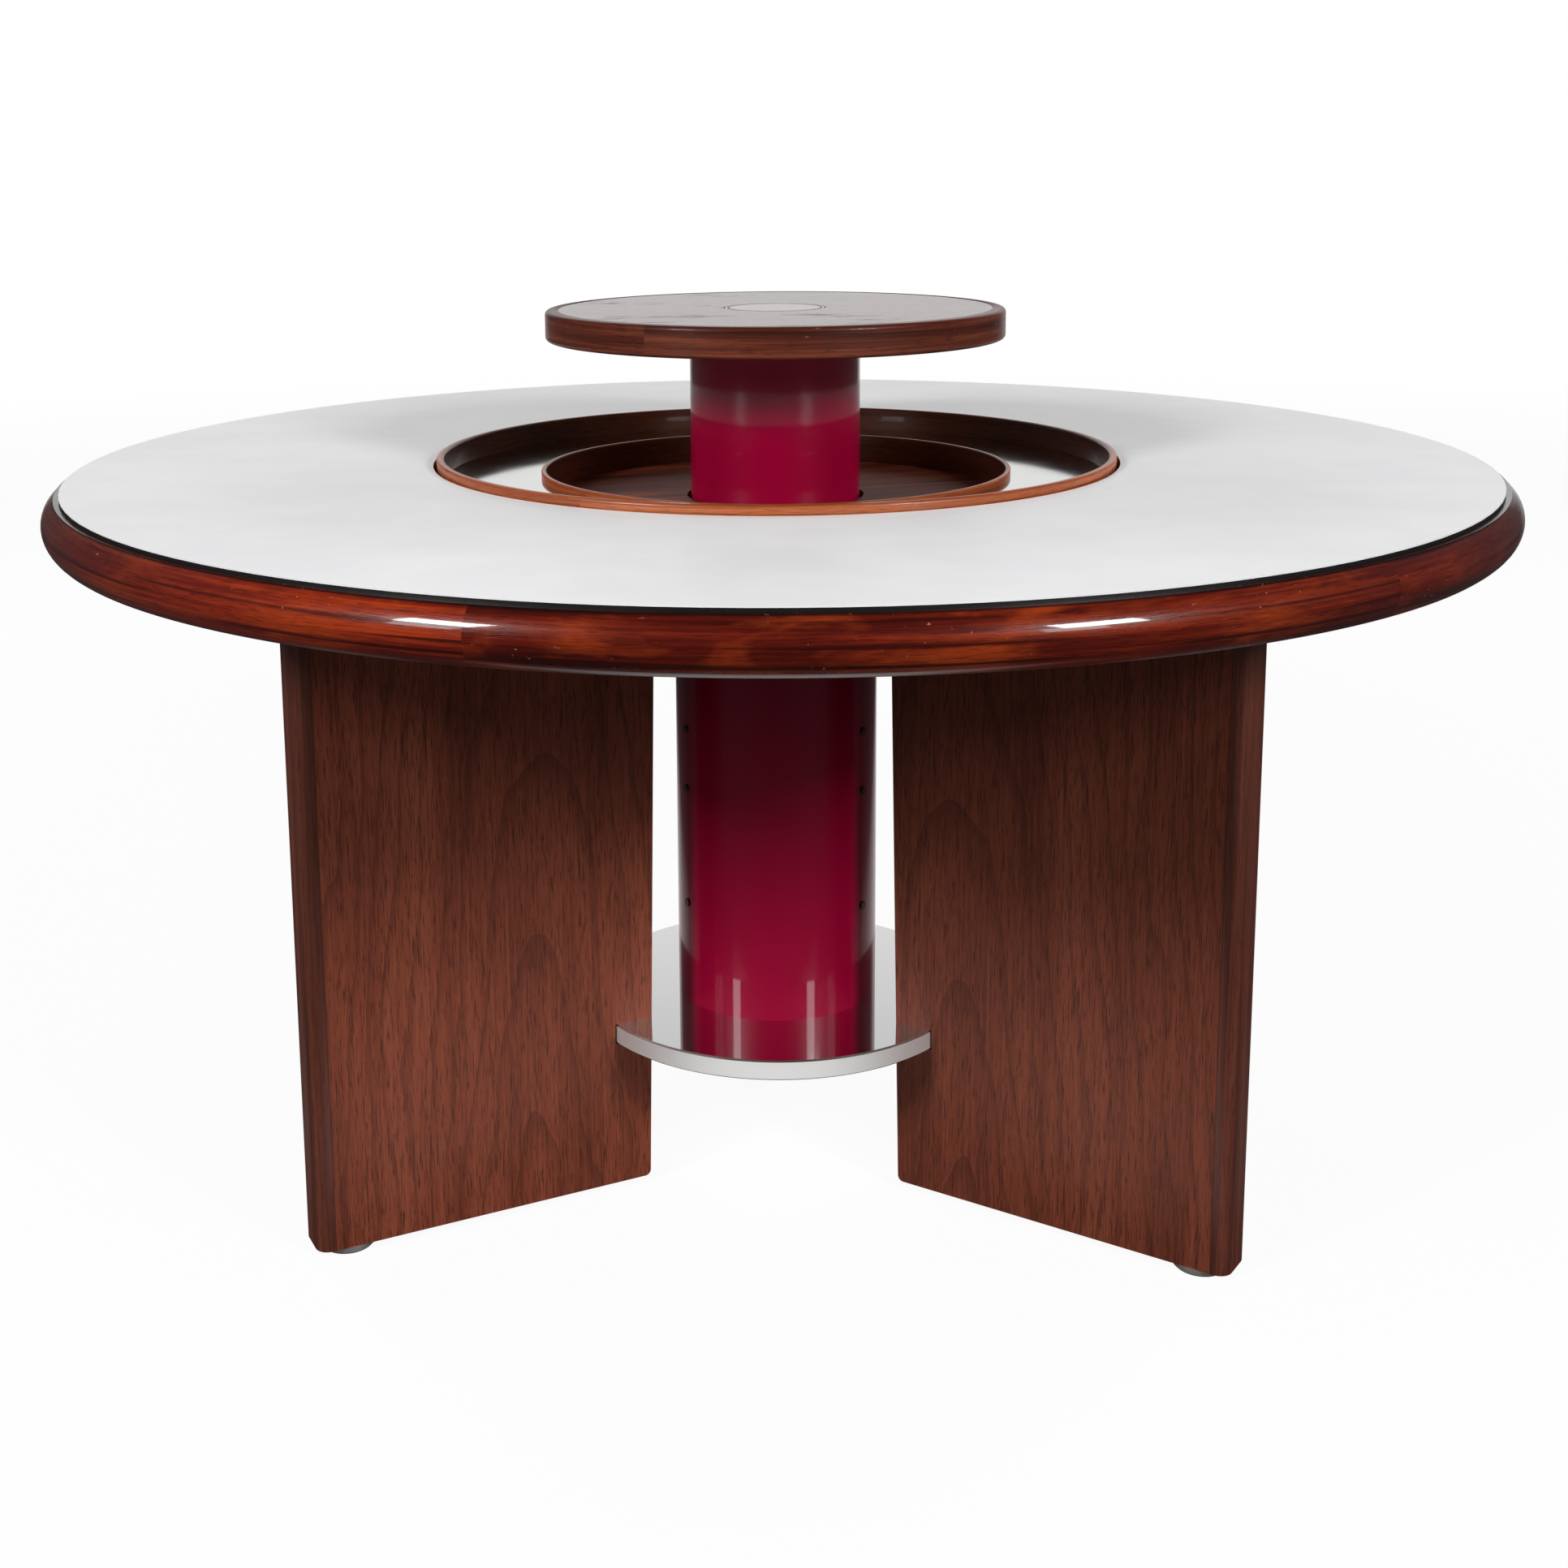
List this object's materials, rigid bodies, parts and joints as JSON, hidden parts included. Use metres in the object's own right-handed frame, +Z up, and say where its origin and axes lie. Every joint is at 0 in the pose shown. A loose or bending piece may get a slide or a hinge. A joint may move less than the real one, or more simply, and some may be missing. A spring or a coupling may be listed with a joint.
{
  "type": "dining table",
  "caption": "Round dining table on radial slab legs, with a revolving pan set into the top and a small round serving tray on a telescopic central column.",
  "frame": {"origin": "on the floor under the table's axis", "axes": "+Z up along the column, -Y towards the viewer of the picture"},
  "size_m": [1.4, 1.4, 0.878],
  "materials": {
    "white_laminate": "satin",
    "black_edge": "satin",
    "rim_wood": "gloss lacquer",
    "core_board": "raw",
    "leg_wood": "satin lacquer",
    "tray_wood": "gloss lacquer",
    "hoop_wood": "satin lacquer",
    "magenta_lacquer": "gloss",
    "polished_aluminium": "polished",
    "polished_steel": "polished",
    "steel": "plain",
    "black_screw": "satin",
    "nylon": "matte",
    "spring_black": "satin"
  },
  "bodies": {
    "base": {"base_board": "core_board", "base_board_screws": "steel", "bearing_lower_race": "steel", "bearing_rollers": "polished_steel", "bracket_bolts": "steel", "bracket_screws": "steel", "column_base_bolts": "steel", "column_base_ring": "steel", "column_flange_screws": "steel", "column_outer_tube": "magenta_lacquer", "column_top_flange": "steel", "gas_spring_cylinder": "spring_black", "gas_spring_nut": "steel", "guide_rail_1": "nylon", "guide_rail_2": "nylon", "guide_rail_3": "nylon", "guide_rail_screws": "black_screw", "leg_brackets": "steel", "leg_glides": "polished_steel", "leg_lipping_1": "leg_wood", "leg_lipping_2": "leg_wood", "leg_lipping_3": "leg_wood", "leg_panel_1": "leg_wood", "leg_panel_2": "leg_wood", "leg_panel_3": "leg_wood", "plate_bolts": "steel", "rim_segment_1": "rim_wood", "rim_segment_2": "rim_wood", "rim_segment_3": "rim_wood", "rim_segment_4": "rim_wood", "rim_segment_5": "rim_wood", "rim_segment_6": "rim_wood", "spreader_plate": "polished_aluminium", "top_core": "core_board", "top_edge_strip": "black_edge", "top_laminate": "white_laminate", "upper_guide_bush": "nylon"},
    "revolving_pan": {"pan_floor_board": "core_board", "pan_floor_sheet": "polished_steel", "pan_outer_ring": "hoop_wood", "pan_inner_ring": "hoop_wood", "pan_inner_floor": "hoop_wood", "bearing_upper_race": "steel"},
    "lift": {"lift_tube": "magenta_lacquer", "lift_foot_collar": "nylon", "tray_flange": "polished_aluminium", "tray_flange_screws": "steel", "gas_spring_rod": "polished_steel", "tray_core": "tray_wood", "tray_edge": "tray_wood", "tray_trim_ring": "polished_steel", "stem_bush": "nylon"},
    "button": {"release_button": "tray_wood", "valve_pin": "steel"}
  },
  "joints": [
    {"name": "pan_turn", "type": "hinge", "parent": "base", "child": "revolving_pan", "pos_m": [0, 0, 0.692], "axis": [0, 0, 1], "continuous": true},
    {"name": "tray_lift", "type": "slide", "parent": "base", "child": "lift", "axis": [0, 0, 1], "range_m": [-0.145, 0]},
    {"name": "button_press", "type": "slide", "parent": "lift", "child": "button", "axis": [0, 0, 1], "range_m": [-0.004, 0], "stiffness_N_per_m": 3000, "springref_m": 0.004}
  ]
}
